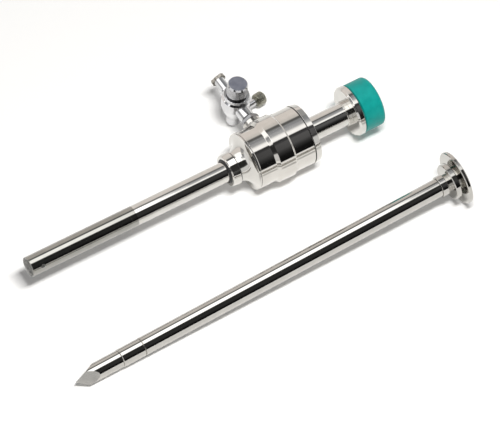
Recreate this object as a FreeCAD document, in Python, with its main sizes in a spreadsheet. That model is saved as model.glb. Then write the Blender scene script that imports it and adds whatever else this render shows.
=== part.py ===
import FreeCAD, Part
import math
import os
import Sketcher

# Laparoscopic trocar with its obturator, in millimetres.
# The origin is the centre of the cannula's mouth. +X runs up the bore to the seal cap,
# +Y points to the stopcock and +Z is up, square to the surface that the trocar lies on.

SIZES = {
    # running and assembly clearances, on the radius or between faces
    "fit_gap": 0.05,
    "turn_gap": 0.05,
    "face_gap": 0.3,
    # cannula tube
    "tube_outer": 11.0,
    "tube_inner": 10.3,
    "tube_seat": 10.64,
    "tube_reach": 119.8,
    "mouth_bevel": 0.15,
    "vent_place": 6.2,
    "vent_bore": 2.4,
    "vent_turn": 25.0,
    # cannula hub and its seals
    "hub_nose": 16.6,
    "hub_front": 17.4,
    "hub_rear": 18.2,
    "hub_length": 4.7,
    "hub_bevel": 0.5,
    "hub_spigot": 14.0,
    "hub_spigot_length": 6.0,
    "hub_lip": 0.8,
    "ring_cord": 1.5,
    "ring_recess": 0.9,
    "hub_gasket_outer": 17.2,
    "hub_gasket_thick": 0.6,
    # nose cone
    "cone_front": 16.5,
    "cone_rear": 31.8,
    "cone_length": 7.4,
    "cone_rim": 0.8,
    "cone_flare": 7.25,
    "cone_throat": 0.6,
    "funnel_mouth": 23.0,
    # barrel
    "gasket_thick": 0.3,
    "gasket_inset": 0.5,
    "front_outer": 32.0,
    "front_length": 9.4,
    "band_slope": 1.9,
    "band_outer": 34.8,
    "band_length": 9.6,
    "band_bevel": 0.5,
    "rear_outer": 32.7,
    "rear_length": 11.6,
    "edge_bevel": 0.25,
    "screw_bore": 26.7,
    "screw_length": 6.2,
    "land_bore": 25.6,
    # rear cap, neck and flange
    "cap_front": 33.2,
    "cap_rear": 32.0,
    "cap_length": 3.4,
    "cap_web": 1.0,
    "cap_spigot_bore": 23.0,
    "neck_outer": 12.7,
    "neck_inner": 10.6,
    "neck_reach": 25.0,
    "neck_collar_outer": 13.9,
    "neck_collar_length": 2.6,
    "neck_seat": 2.4,
    "flange_outer": 27.6,
    "flange_thick": 3.9,
    "flange_bevel": 0.35,
    "plug_outer": 21.0,
    "plug_length": 6.1,
    "plug_mouth": 18.0,
    "plug_throat": 1.0,
    # seal cap
    "seal_outer": 27.0,
    "seal_length": 11.8,
    "seal_gap": 0.15,
    "seal_round": 1.9,
    "seal_hole": 9.0,
    "seal_lip": 2.0,
    "seal_web": 3.4,
    "seal_dish": 11.0,
    "seal_dish_depth": 1.2,
    # valve insert and flap
    "insert_thick": 3.1,
    "seat_seal_outer": 14.8,
    "seat_seal_height": 1.5,
    "seat_groove": 0.8,
    "magnet_inner": 12.6,
    "magnet_outer": 17.6,
    "magnet_thick": 1.5,
    "pin_height": 9.4,
    "pin_ahead": 1.7,
    "pin_diameter": 1.2,
    "pin_length": 7.0,
    "ear_span": 6.8,
    "ear_slot": 4.8,
    "ear_half": 1.5,
    "ear_round": 1.6,
    "flap_diameter": 14.6,
    "flap_thick": 1.2,
    "flap_gap": 0.1,
    "knuckle_diameter": 2.6,
    "knuckle_width": 4.4,
    # stopcock stem, valve body and hose end
    "tap_offset": 36.0,
    "tap_ahead": 0.9,
    "tap_lean": 5.4,
    "lever_turn": 10.0,
    "boss_outer": 10.5,
    "boss_height": 2.5,
    "boss_depth": 3.0,
    "port_bore": 2.6,
    "nut_flats": 9.2,
    "nut_height": 2.4,
    "stem_outer": 8.0,
    "stem_thread": 5.9,
    "stem_thread_length": 7.0,
    "stem_groove": 6.5,
    "stem_groove_width": 0.7,
    "valve_outer": 15.2,
    "valve_below": 6.0,
    "valve_above": 6.5,
    "valve_foot": 12.4,
    "valve_foot_height": 4.5,
    "valve_flange": 13.8,
    "valve_flange_thick": 1.6,
    "valve_shoulder": 0.5,
    "hose_stub": 7.4,
    "hose_stub_reach": 9.0,
    "luer_outer": 5.6,
    "luer_end": 18.0,
    "luer_lugs": 7.8,
    "luer_lug_width": 5.0,
    "luer_lug_thick": 1.6,
    "luer_lug_turn": -62.0,
    "luer_mouth": 4.3,
    "luer_straight": 2.0,
    "luer_root": 3.9,
    "luer_depth": 7.5,
    "luer_spigot": 4.8,
    "luer_spigot_length": 1.6,
    # tap plug, lever and knob
    "plug_top": 7.8,
    "plug_foot": 7.2,
    "hub_top": 11.8,
    "hub_waist": 8.8,
    "hub_waist_drop": 3.3,
    "hub_foot": 7.6,
    "hub_drop": 9.3,
    "hub_round": 2.4,
    "post_outer": 4.0,
    "lever_drop": 10.5,
    "lever_rod": 3.7,
    "lever_reach": 20.4,
    "lever_root": 1.4,
    "knob_outer": 7.2,
    "knob_length": 5.8,
    "knob_round": 0.9,
    "knob_neck": 4.9,
    "knob_neck_length": 0.8,
    # spring cap
    "washer_outer": 10.3,
    "washer_inner": 4.4,
    "washer_thick": 1.6,
    "button_outer": 11.0,
    "button_face": 10.1,
    "button_bevel": 0.8,
    "button_height": 6.8,
    "button_wall": 1.1,
    "button_roof": 1.8,
    "spring_outer": 7.4,
    "spring_wire": 0.7,
    "spring_turns": 3.0,
    # obturator
    "shaft_outer": 10.0,
    "shaft_inner": 7.2,
    "shaft_seat": 9.6,
    "tip_outer": 9.6,
    "point_length": 13.0,
    "tip_length": 27.0,
    "tip_spigot_length": 6.0,
    "mark_place": 40.0,
    "mark_width": 0.6,
    "mark_depth": 0.2,
    "head_place": 228.4,
    "collar_ahead": 2.0,
    "collar_length": 3.6,
    "collar_outer": 11.4,
    "small_disc_outer": 20.0,
    "small_disc_thick": 3.1,
    "disc_bevel": 0.4,
    "neck_gap": 1.5,
    "disc_boss": 13.0,
    "palm_outer": 29.6,
    "palm_rim": 2.2,
    "palm_dome": 1.4,
    "palm_dome_face": 22.0,
    "palm_spigot_length": 3.0,
    "obturator_side": 67.9,
    "obturator_ahead": 12.5,
    "obturator_turn": 0.9,
}


class Size:
    """A length with the sheet formula that gives it, so that sums stay tied to the sheet."""

    def __init__(self, value, formula):
        self.value = value
        self.formula = formula

    def join(self, other, sign, value):
        other_formula = other.formula if isinstance(other, Size) else repr(float(other))
        return Size(value, f"({self.formula} {sign} {other_formula})")

    def __add__(self, other):
        return self.join(other, "+", self.value + number(other))

    def __sub__(self, other):
        return self.join(other, "-", self.value - number(other))

    def __mul__(self, other):
        return self.join(other, "*", self.value * number(other))

    def __truediv__(self, other):
        return self.join(other, "/", self.value / number(other))

    def __neg__(self):
        return self * -1


def number(size):
    return size.value if isinstance(size, Size) else float(size)


def leaning(rise, run):
    """The angle, in degrees, whose sine is rise over run."""
    angle = math.degrees(math.asin(number(rise) / number(run)))
    return Size(angle, f"asin({rise.formula} / {run.formula})")


doc = FreeCAD.newDocument("Trocar")
sheet = doc.addObject("Spreadsheet::Sheet", "Sizes")
for row, (alias, value) in enumerate(SIZES.items(), start=1):
    sheet.set(f"A{row}", alias)
    sheet.set(f"B{row}", str(value))
    sheet.setAlias(f"B{row}", alias)
doc.recompute()


def size(alias):
    return Size(SIZES[alias], f"Sizes.{alias}")


def radius(alias):
    return size(alias) / 2


# Ways a piece stands in the trocar. A turned piece is drawn round its own Z axis.
UPRIGHT = FreeCAD.Rotation()
ALONG_X = FreeCAD.Rotation(FreeCAD.Vector(1, 1, 1), 120)
ALONG_Y = FreeCAD.Rotation(FreeCAD.Vector(1, 1, 1), 240)


def bind(item, prop, value):
    """Tie one property to the sheet, or set it where the value is a plain number."""
    if isinstance(value, Size):
        item.setExpression(prop, value.formula)


def place(item, turn, x=0, y=0, z=0):
    item.Placement = FreeCAD.Placement(FreeCAD.Vector(number(x), number(y), number(z)), turn)
    bind(item, "Placement.Base.x", x)
    bind(item, "Placement.Base.y", y)
    bind(item, "Placement.Base.z", z)


def new_body(name, turn=UPRIGHT, x=0, y=0, z=0):
    body = doc.addObject("PartDesign::Body", name)
    body.Label = name
    place(body, turn, x, y, z)
    return body


def new_sketch(body, plane, name, lift=0):
    """A sketch on one of the body's origin planes, moved along its normal by lift."""
    sketch = body.newObject("Sketcher::SketchObject", f"{body.Name}_{name}")
    origin_plane = next(item for item in body.Origin.OriginFeatures if item.Role == plane)
    sketch.AttachmentSupport = [(origin_plane, "")]
    sketch.MapMode = "FlatFace"
    sketch.AttachmentOffset = FreeCAD.Placement(FreeCAD.Vector(0, 0, number(lift)), FreeCAD.Rotation())
    bind(sketch, "AttachmentOffset.Base.z", lift)
    return sketch


def pin_point(sketch, edge, end, point):
    """Tie one end of an edge, or a circle's centre, to the sketch's axes."""
    for value, kind, axis in ((point[0], "DistanceX", -2), (point[1], "DistanceY", -1)):
        if isinstance(value, Size) or value:
            index = sketch.addConstraint(Sketcher.Constraint(kind, -1, 1, edge, end, number(value)))
            bind(sketch, f"Constraints[{index}]", value)
        else:
            sketch.addConstraint(Sketcher.Constraint("PointOnObject", edge, end, axis))


def set_radius(sketch, edge, length):
    index = sketch.addConstraint(Sketcher.Constraint("Radius", edge, number(length)))
    bind(sketch, f"Constraints[{index}]", length)


def arc_between(start, end, bend):
    """An arc from start to end. A positive bend turns left on the way and a negative one right."""
    middle = (start + end) / 2
    half = (end - start) / 2
    reach = math.sqrt(bend * bend - half.Length ** 2)
    side = FreeCAD.Vector(-half.y, half.x, 0).normalize() * math.copysign(reach, bend)
    circle = Part.Circle(middle + side, FreeCAD.Vector(0, 0, 1), abs(bend))
    first, last = circle.parameter(start), circle.parameter(end)
    return Part.ArcOfCircle(circle, first, last) if bend > 0 else Part.ArcOfCircle(circle, last, first)


def outline(sketch, corners):
    """A closed outline. A corner (a, b, bend) starts an arc of that radius to the next corner."""
    points = [FreeCAD.Vector(number(corner[0]), number(corner[1]), 0) for corner in corners]
    ends = []
    for index, corner in enumerate(corners):
        start, end = points[index], points[(index + 1) % len(points)]
        if len(corner) == 2:
            sketch.addGeometry(Part.LineSegment(start, end), False)
            ends.append((1, 2))
            continue
        bend = corner[2]
        sketch.addGeometry(arc_between(start, end, number(bend)), False)
        ends.append((1, 2) if number(bend) > 0 else (2, 1))
    for index in range(len(corners)):
        after = (index + 1) % len(corners)
        sketch.addConstraint(Sketcher.Constraint("Coincident", index, ends[index][1], after, ends[after][0]))
    for index, corner in enumerate(corners):
        pin_point(sketch, index, ends[index][0], corner)
        if len(corner) == 3:
            set_radius(sketch, index, corner[2] if number(corner[2]) > 0 else -corner[2])


def round_outline(sketch, across, up, bore):
    """One circle of the given radius, its centre pinned at (across, up)."""
    centre = FreeCAD.Vector(number(across), number(up), 0)
    index = sketch.addGeometry(Part.Circle(centre, FreeCAD.Vector(0, 0, 1), number(bore)), False)
    pin_point(sketch, index, 3, (across, up))
    set_radius(sketch, index, bore)


def turned(name, corners, turn=UPRIGHT, x=0, y=0, z=0):
    """A piece turned on a lathe. Each corner is (radius, height) along the piece's own Z axis."""
    body = new_body(name, turn, x, y, z)
    sketch = new_sketch(body, "XZ_Plane", "profile")
    outline(sketch, corners)
    solid = body.newObject("PartDesign::Revolution", f"{name}_turned")
    solid.Profile = sketch
    solid.ReferenceAxis = (sketch, ["V_Axis"])
    solid.Angle = 360
    return body


def drill(body, plane, name, across, up, bore, lift=0, both=False, reverse=False):
    """A round hole cut square to one of the body's planes."""
    sketch = new_sketch(body, plane, name, lift)
    round_outline(sketch, across, up, bore)
    hole = body.newObject("PartDesign::Pocket", f"{body.Name}_{name}_hole")
    hole.Profile = sketch
    hole.Type = "ThroughAll"
    hole.Midplane = both
    hole.Reversed = reverse
    return hole


def turn_extra(body, name, corners, plane, axis, cut=False):
    """A second turned form on a body, added or cut."""
    sketch = new_sketch(body, plane, name)
    outline(sketch, corners)
    kind = "PartDesign::Groove" if cut else "PartDesign::Revolution"
    form = body.newObject(kind, f"{body.Name}_{name}_turned")
    form.Profile = sketch
    form.ReferenceAxis = (sketch, [axis])
    form.Angle = 360
    return form


# Stations along the bore, from the mouth at 0
fit = size("fit_gap")
hub_start = size("tube_reach")
hub_end = hub_start + size("hub_length")
spigot_end = hub_end + size("hub_spigot_length")
tube_end = spigot_end - size("hub_lip")
cone_start = hub_end + size("hub_gasket_thick")
cone_end = cone_start + size("cone_length")
barrel_start = cone_end + size("gasket_thick")
slope_start = barrel_start + size("front_length")
band_start = slope_start + size("band_slope")
band_end = band_start + size("band_length")
barrel_end = band_end + size("rear_length")
cap_start = barrel_end + size("gasket_thick")
cap_end = cap_start + size("cap_length")
flange_start = cap_end + size("neck_reach")
flange_end = flange_start + size("flange_thick")
plug_end = flange_end + size("plug_length")
seal_start = flange_end + size("face_gap")
seal_end = seal_start + size("seal_length")
insert_end = barrel_end - size("screw_length") + size("insert_thick")
insert_start = barrel_end - size("screw_length")
tap_station = band_start + size("band_length") / 2 - size("tap_ahead")
floor = radius("band_outer")

# The stopcock was screwed home a little past upright, so its valve leans about the stem. The lever stands
# a little off the trocar's own direction.
TAP_LEAN = FreeCAD.Rotation(FreeCAD.Vector(0, 1, 0), SIZES["tap_lean"])
TAP_TURN = TAP_LEAN.multiply(FreeCAD.Rotation(FreeCAD.Vector(0, 0, 1), SIZES["lever_turn"]))


def on_tap_axis(height):
    """The x and z of a point on the leaning valve axis, at a height above the stem."""
    lean = math.radians(SIZES["tap_lean"])
    return tap_station + height * math.sin(lean), height * math.cos(lean)


def make_cannula():
    """The thin tube that goes through the body wall, soldered into its hub."""
    wall_outer, wall_inner, seat = radius("tube_outer"), radius("tube_inner"), radius("tube_seat")
    bevel = size("mouth_bevel")
    ring_start = hub_start + size("ring_recess") - size("ring_cord")
    tube = turned("cannula_tube", [
        (wall_inner, 0),
        (wall_outer - bevel, 0),
        (wall_outer, bevel),
        (wall_outer, ring_start - fit * 4),
        (seat, ring_start - fit * 4),
        (seat, tube_end - fit),
        (wall_inner, tube_end - fit),
    ], ALONG_X)
    drill(tube, "YZ_Plane", "vent", 0, size("vent_place"), radius("vent_bore"), both=True)
    lean = FreeCAD.Rotation(FreeCAD.Vector(1, 0, 0), -SIZES["vent_turn"])
    tube.Placement = FreeCAD.Placement(FreeCAD.Vector(), lean.multiply(ALONG_X))

    recess = seat + size("ring_cord") + fit
    turned("cannula_hub", [
        (recess, hub_start),
        (radius("hub_nose"), hub_start),
        (radius("hub_front"), hub_start + size("hub_bevel")),
        (radius("hub_rear"), hub_end),
        (radius("hub_spigot"), hub_end),
        (radius("hub_spigot"), spigot_end),
        (wall_inner, spigot_end),
        (wall_inner, tube_end),
        (seat + fit, tube_end),
        (seat + fit, hub_start + size("ring_recess")),
        (recess, hub_start + size("ring_recess")),
    ], ALONG_X)

    ring_middle = seat + radius("ring_cord") + fit / 2
    ring_station = hub_start + size("ring_recess") - radius("ring_cord")
    corner = radius("ring_cord") / math.cos(math.pi / 8)
    angles = [math.pi / 8 * (2 * step + 1) for step in range(8)]
    turned("tube_ring", [
        (ring_middle + corner * math.cos(a), ring_station + corner * math.sin(a)) for a in angles
    ], ALONG_X)

    turned("hub_gasket", [
        (radius("hub_spigot") + fit, hub_end),
        (radius("hub_gasket_outer"), hub_end),
        (radius("hub_gasket_outer"), cone_start),
        (radius("hub_spigot") + fit, cone_start),
    ], ALONG_X)


def make_nose():
    """The flared cone that screws into the barrel and leads instruments into the tube."""
    rim = radius("cone_rear")
    thread = radius("screw_bore") - fit
    throat = spigot_end + fit
    nose_end = cone_end + size("screw_length")
    turned("nose_cone", [
        (radius("hub_spigot") + fit, cone_start),
        (radius("cone_front"), cone_start, -size("cone_flare")),
        (rim, cone_end - size("cone_rim")),
        (rim, cone_end),
        (thread, cone_end),
        (thread, nose_end),
        (radius("funnel_mouth"), nose_end),
        (radius("tube_inner"), throat + size("cone_throat")),
        (radius("tube_inner"), throat),
        (radius("hub_spigot") + fit, throat),
    ], ALONG_X)
    turned("nose_gasket", [
        (radius("screw_bore"), cone_end),
        (rim - size("gasket_inset"), cone_end),
        (rim - size("gasket_inset"), barrel_start),
        (radius("screw_bore"), barrel_start),
    ], ALONG_X)


def make_barrel():
    """The valve housing: three diameters outside, a land between two screwed mouths inside."""
    bevel = size("edge_bevel")
    barrel = turned("barrel", [
        (radius("screw_bore"), barrel_start),
        (radius("front_outer") - bevel, barrel_start),
        (radius("front_outer"), barrel_start + bevel),
        (radius("front_outer"), slope_start),
        (radius("band_outer"), band_start),
        (radius("band_outer"), band_end - size("band_bevel")),
        (radius("band_outer") - size("band_bevel"), band_end),
        (radius("rear_outer"), band_end),
        (radius("rear_outer"), barrel_end - bevel),
        (radius("rear_outer") - bevel, barrel_end),
        (radius("screw_bore"), barrel_end),
        (radius("screw_bore"), insert_start),
        (radius("land_bore"), insert_start),
        (radius("land_bore"), barrel_start + size("screw_length")),
        (radius("screw_bore"), barrel_start + size("screw_length")),
    ], ALONG_X)
    boss_floor = radius("band_outer") - size("boss_depth")
    drill(barrel, "YZ_Plane", "boss", 0, tap_station, radius("boss_outer") + fit, lift=boss_floor,
          reverse=True)
    drill(barrel, "YZ_Plane", "port", 0, tap_station, radius("port_bore"), reverse=True)


def make_rear():
    """Rear cap, neck tube and the flange that the seal cap is pushed onto."""
    thread = radius("screw_bore") - fit
    neck_seat = radius("neck_outer") + fit
    inside = radius("cap_spigot_bore")
    turned("rear_gasket", [
        (radius("screw_bore"), barrel_end),
        (radius("rear_outer") - size("gasket_inset"), barrel_end),
        (radius("rear_outer") - size("gasket_inset"), cap_start),
        (radius("screw_bore"), cap_start),
    ], ALONG_X)
    turned("rear_cap", [
        (inside, insert_end),
        (thread, insert_end),
        (thread, cap_start),
        (radius("cap_front"), cap_start),
        (radius("cap_rear"), cap_end),
        (neck_seat, cap_end),
        (neck_seat, cap_start - size("cap_web")),
        (inside, cap_start - size("cap_web")),
    ], ALONG_X)

    bore = radius("neck_inner")
    collar = radius("neck_collar_outer")
    neck_end = flange_start + size("neck_seat")
    turned("inlet_neck", [
        (bore, insert_end),
        (radius("neck_outer"), insert_end),
        (radius("neck_outer"), flange_start - size("neck_collar_length")),
        (collar, flange_start - size("neck_collar_length")),
        (collar, flange_start),
        (radius("neck_outer"), flange_start),
        (radius("neck_outer"), neck_end),
        (bore, neck_end),
    ], ALONG_X)

    bevel = size("flange_bevel")
    turned("neck_flange", [
        (neck_seat, flange_start),
        (radius("flange_outer") - bevel, flange_start),
        (radius("flange_outer"), flange_start + bevel),
        (radius("flange_outer"), flange_end - bevel),
        (radius("flange_outer") - bevel, flange_end),
        (radius("plug_outer"), flange_end),
        (radius("plug_outer"), plug_end),
        (radius("plug_mouth"), plug_end),
        (bore, neck_end + size("plug_throat")),
        (bore, neck_end),
        (neck_seat, neck_end),
    ], ALONG_X)

    inside = radius("plug_outer") + size("seal_gap")
    dish = radius("seal_dish")
    hole = radius("seal_hole")
    seal_floor = seal_end - size("seal_web")
    turned("seal_cap", [
        (inside, seal_start),
        (radius("seal_outer"), seal_start),
        (radius("seal_outer"), seal_end - size("seal_round"), size("seal_round")),
        (radius("seal_outer") - size("seal_round"), seal_end),
        (dish, seal_end),
        (hole, seal_end - size("seal_dish_depth")),
        (hole, seal_floor),
        (inside - size("seal_lip"), plug_end + size("face_gap")),
        (inside, plug_end + size("face_gap")),
    ], ALONG_X)


def make_valve():
    """The insert that the rear cap clamps, with the flap that a ring magnet holds shut."""
    insert_radius = radius("screw_bore") - fit
    groove = insert_start + size("seat_groove")
    seal_inner = radius("neck_inner") + fit
    seal_outer = radius("seat_seal_outer")
    magnet_front = insert_end - size("magnet_thick")
    seat = turned("valve_seat", [
        (radius("neck_inner"), groove),
        (seal_outer + fit, groove),
        (seal_outer + fit, insert_start),
        (insert_radius, insert_start),
        (insert_radius, insert_end),
        (radius("magnet_outer") + fit, insert_end),
        (radius("magnet_outer") + fit, magnet_front),
        (radius("magnet_inner") - fit, magnet_front),
        (radius("magnet_inner") - fit, insert_end),
        (radius("neck_inner"), insert_end),
    ], ALONG_X)
    add_hinge_ears(seat)

    seal_front = groove - size("seat_seal_height")
    turned("seat_seal", [
        (seal_inner, seal_front),
        (seal_outer, seal_front),
        (seal_outer, groove),
        (seal_inner, groove),
    ], ALONG_X)
    turned("seat_magnet", [
        (radius("magnet_inner"), magnet_front),
        (radius("magnet_outer"), magnet_front),
        (radius("magnet_outer"), insert_end),
        (radius("magnet_inner"), insert_end),
    ], ALONG_X)

    pin = doc.addObject("Part::Cylinder", "flap_pin")
    pin.Label = "flap_pin"
    bind(pin, "Radius", radius("pin_diameter"))
    bind(pin, "Height", size("pin_length"))
    place(pin, ALONG_Y, x=insert_start - size("pin_ahead"), y=-radius("pin_length"),
          z=size("pin_height"))
    make_flap(seal_front - size("flap_gap"))


def add_hinge_ears(seat):
    """Two ears on the front of the insert, with the pin's hole through both."""
    height, ear = size("pin_height"), size("ear_half")
    pin_station = insert_start - size("pin_ahead")
    sketch = new_sketch(seat, "YZ_Plane", "ear")
    outline(sketch, [
        (height - ear, insert_start + fit),
        (height + ear, insert_start + fit),
        (height + ear, pin_station, -size("ear_round")),
        (height - ear, pin_station),
    ])
    ears = seat.newObject("PartDesign::Pad", "valve_seat_ears")
    ears.Profile = sketch
    bind(ears, "Length", size("ear_span"))
    ears.Midplane = True
    slot_sketch = new_sketch(seat, "YZ_Plane", "slot")
    outline(slot_sketch, [
        (height - ear * 2, insert_start),
        (height + ear * 2, insert_start),
        (height + ear * 2, pin_station - ear * 2),
        (height - ear * 2, pin_station - ear * 2),
    ])
    slot = seat.newObject("PartDesign::Pocket", "valve_seat_gap")
    slot.Profile = slot_sketch
    bind(slot, "Length", size("ear_slot"))
    slot.Midplane = True
    drill(seat, "YZ_Plane", "pin", height, pin_station, radius("pin_diameter") + fit, both=True)


def make_flap(rear_face):
    """The disc that covers the bore, with the arm and knuckle that it swings on."""
    front_face = rear_face - size("flap_thick")
    height = size("pin_height")
    pin_station = insert_start - size("pin_ahead")
    knuckle = radius("knuckle_diameter")
    flap = turned("flap_plate", [
        (0, front_face),
        (radius("flap_diameter") - size("edge_bevel"), front_face),
        (radius("flap_diameter"), front_face + size("edge_bevel")),
        (radius("flap_diameter"), rear_face),
        (0, rear_face),
    ], ALONG_X)
    sketch = new_sketch(flap, "YZ_Plane", "arm")
    outline(sketch, [
        (height / 2, front_face),
        (height, front_face),
        (height, rear_face),
        (height / 2, rear_face),
    ])
    arm = flap.newObject("PartDesign::Pad", "flap_plate_arm_pad")
    arm.Profile = sketch
    bind(arm, "Length", size("knuckle_width"))
    arm.Midplane = True
    sketch = new_sketch(flap, "YZ_Plane", "knuckle")
    round_outline(sketch, height, pin_station, knuckle)
    barrel = flap.newObject("PartDesign::Pad", "flap_plate_knuckle_pad")
    barrel.Profile = sketch
    bind(barrel, "Length", size("knuckle_width"))
    barrel.Midplane = True
    drill(flap, "YZ_Plane", "pin", height, pin_station, radius("pin_diameter") + size("turn_gap"),
          both=True)


def make_stopcock():
    """Boss, lock nut, valve body and hose end, in line with the stem along +Y."""
    boss_floor = radius("band_outer") - size("boss_depth")
    boss_top = radius("band_outer") + size("boss_height")
    nut_top = boss_top + size("nut_height")
    thread = radius("stem_thread")
    turned("stopcock_boss", [
        (radius("port_bore"), boss_floor + fit),
        (radius("boss_outer"), boss_floor + fit),
        (radius("boss_outer"), boss_top - size("edge_bevel")),
        (radius("boss_outer") - size("edge_bevel"), boss_top),
        (thread + fit, boss_top),
        (thread + fit, nut_top - size("stem_thread_length") - fit),
        (radius("port_bore"), nut_top - size("stem_thread_length") - fit),
    ], ALONG_Y, x=tap_station)

    nut = new_body("lock_nut", ALONG_Y, x=tap_station)
    sketch = new_sketch(nut, "XY_Plane", "hexagon", lift=boss_top)
    corner = size("nut_flats") / math.sqrt(3)
    angles = [math.radians(60 * step) for step in range(6)]
    outline(sketch, [(corner * round(math.cos(a), 6), corner * round(math.sin(a), 6)) for a in angles])
    hexagon = nut.newObject("PartDesign::Pad", "lock_nut_pad")
    hexagon.Profile = sketch
    bind(hexagon, "Length", size("nut_height"))
    drill(nut, "XY_Plane", "thread", 0, 0, thread + fit, both=True)

    make_valve_body(nut_top)
    make_luer()


def make_valve_body(nut_top):
    """The upright valve body with the stem on one side and the hose stub on the other."""
    above, below = size("valve_above"), -size("valve_below")
    flange_low = above - size("valve_flange_thick")
    body = turned("stopcock_body", [
        (0, below),
        (radius("valve_foot"), below),
        (radius("valve_outer"), below + size("valve_foot_height")),
        (radius("valve_outer"), flange_low - size("valve_shoulder")),
        (radius("valve_outer") - size("valve_shoulder"), flange_low),
        (radius("valve_flange"), flange_low),
        (radius("valve_flange"), above),
        (0, above),
    ], TAP_LEAN, x=tap_station, y=size("tap_offset"))
    stem_start = nut_top - size("tap_offset")
    groove_end = stem_start + size("stem_groove_width")
    turn_extra(body, "stem", [
        (stem_start - size("stem_thread_length"), 0),
        (stem_start - size("stem_thread_length"), radius("stem_thread")),
        (stem_start, radius("stem_thread")),
        (stem_start, radius("stem_groove")),
        (groove_end, radius("stem_groove")),
        (groove_end, radius("stem_outer")),
        (0, radius("stem_outer")),
        (0, radius("hose_stub")),
        (size("hose_stub_reach"), radius("hose_stub")),
        (size("hose_stub_reach"), 0),
    ], "YZ_Plane", "H_Axis")
    drill(body, "XZ_Plane", "channel", 0, 0, radius("port_bore"), both=True)
    socket_floor = size("hose_stub_reach") - size("luer_spigot_length") - fit
    drill(body, "XZ_Plane", "socket", 0, 0, radius("luer_spigot") + fit, lift=-socket_floor)
    turn_extra(body, "taper", [
        (0, below),
        (radius("plug_foot") + size("turn_gap"), below),
        (radius("plug_top") + size("turn_gap"), above),
        (0, above),
    ], "XZ_Plane", "V_Axis", cut=True)


def make_luer():
    """The hose end: a socket with a straight mouth and a tapered root, and two lugs outside."""
    start = size("tap_offset") + size("hose_stub_reach")
    end = size("tap_offset") + size("luer_end")
    lug_start = end - size("luer_lug_thick")
    luer = turned("luer_connector", [
        (radius("port_bore"), start - size("luer_spigot_length")),
        (radius("luer_spigot"), start - size("luer_spigot_length")),
        (radius("luer_spigot"), start),
        (radius("luer_outer"), start),
        (radius("luer_outer"), lug_start - size("edge_bevel")),
        (radius("luer_lugs"), lug_start),
        (radius("luer_lugs"), end),
        (radius("luer_mouth"), end),
        (radius("luer_mouth"), end - size("luer_straight")),
        (radius("luer_root"), end - size("luer_depth")),
        (radius("port_bore"), end - size("luer_depth")),
    ], ALONG_Y, x=tap_station)
    for side in (-1, 1):
        sketch = new_sketch(luer, "XY_Plane", f"flat{side + 1}", lift=lug_start - size("edge_bevel"))
        inner, outer = size("luer_lug_width") / 2 * side, size("luer_lugs") * side
        outline(sketch, [
            (-size("luer_lugs"), inner),
            (size("luer_lugs"), inner),
            (size("luer_lugs"), outer),
            (-size("luer_lugs"), outer),
        ])
        flat = luer.newObject("PartDesign::Pocket", f"luer_connector_flat_cut{side + 1}")
        flat.Profile = sketch
        flat.Type = "ThroughAll"
        flat.Reversed = True
    lean = FreeCAD.Rotation(FreeCAD.Vector(0, 1, 0), -SIZES["luer_lug_turn"])
    luer.Placement = FreeCAD.Placement(luer.Placement.Base, lean.multiply(ALONG_Y))


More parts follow.
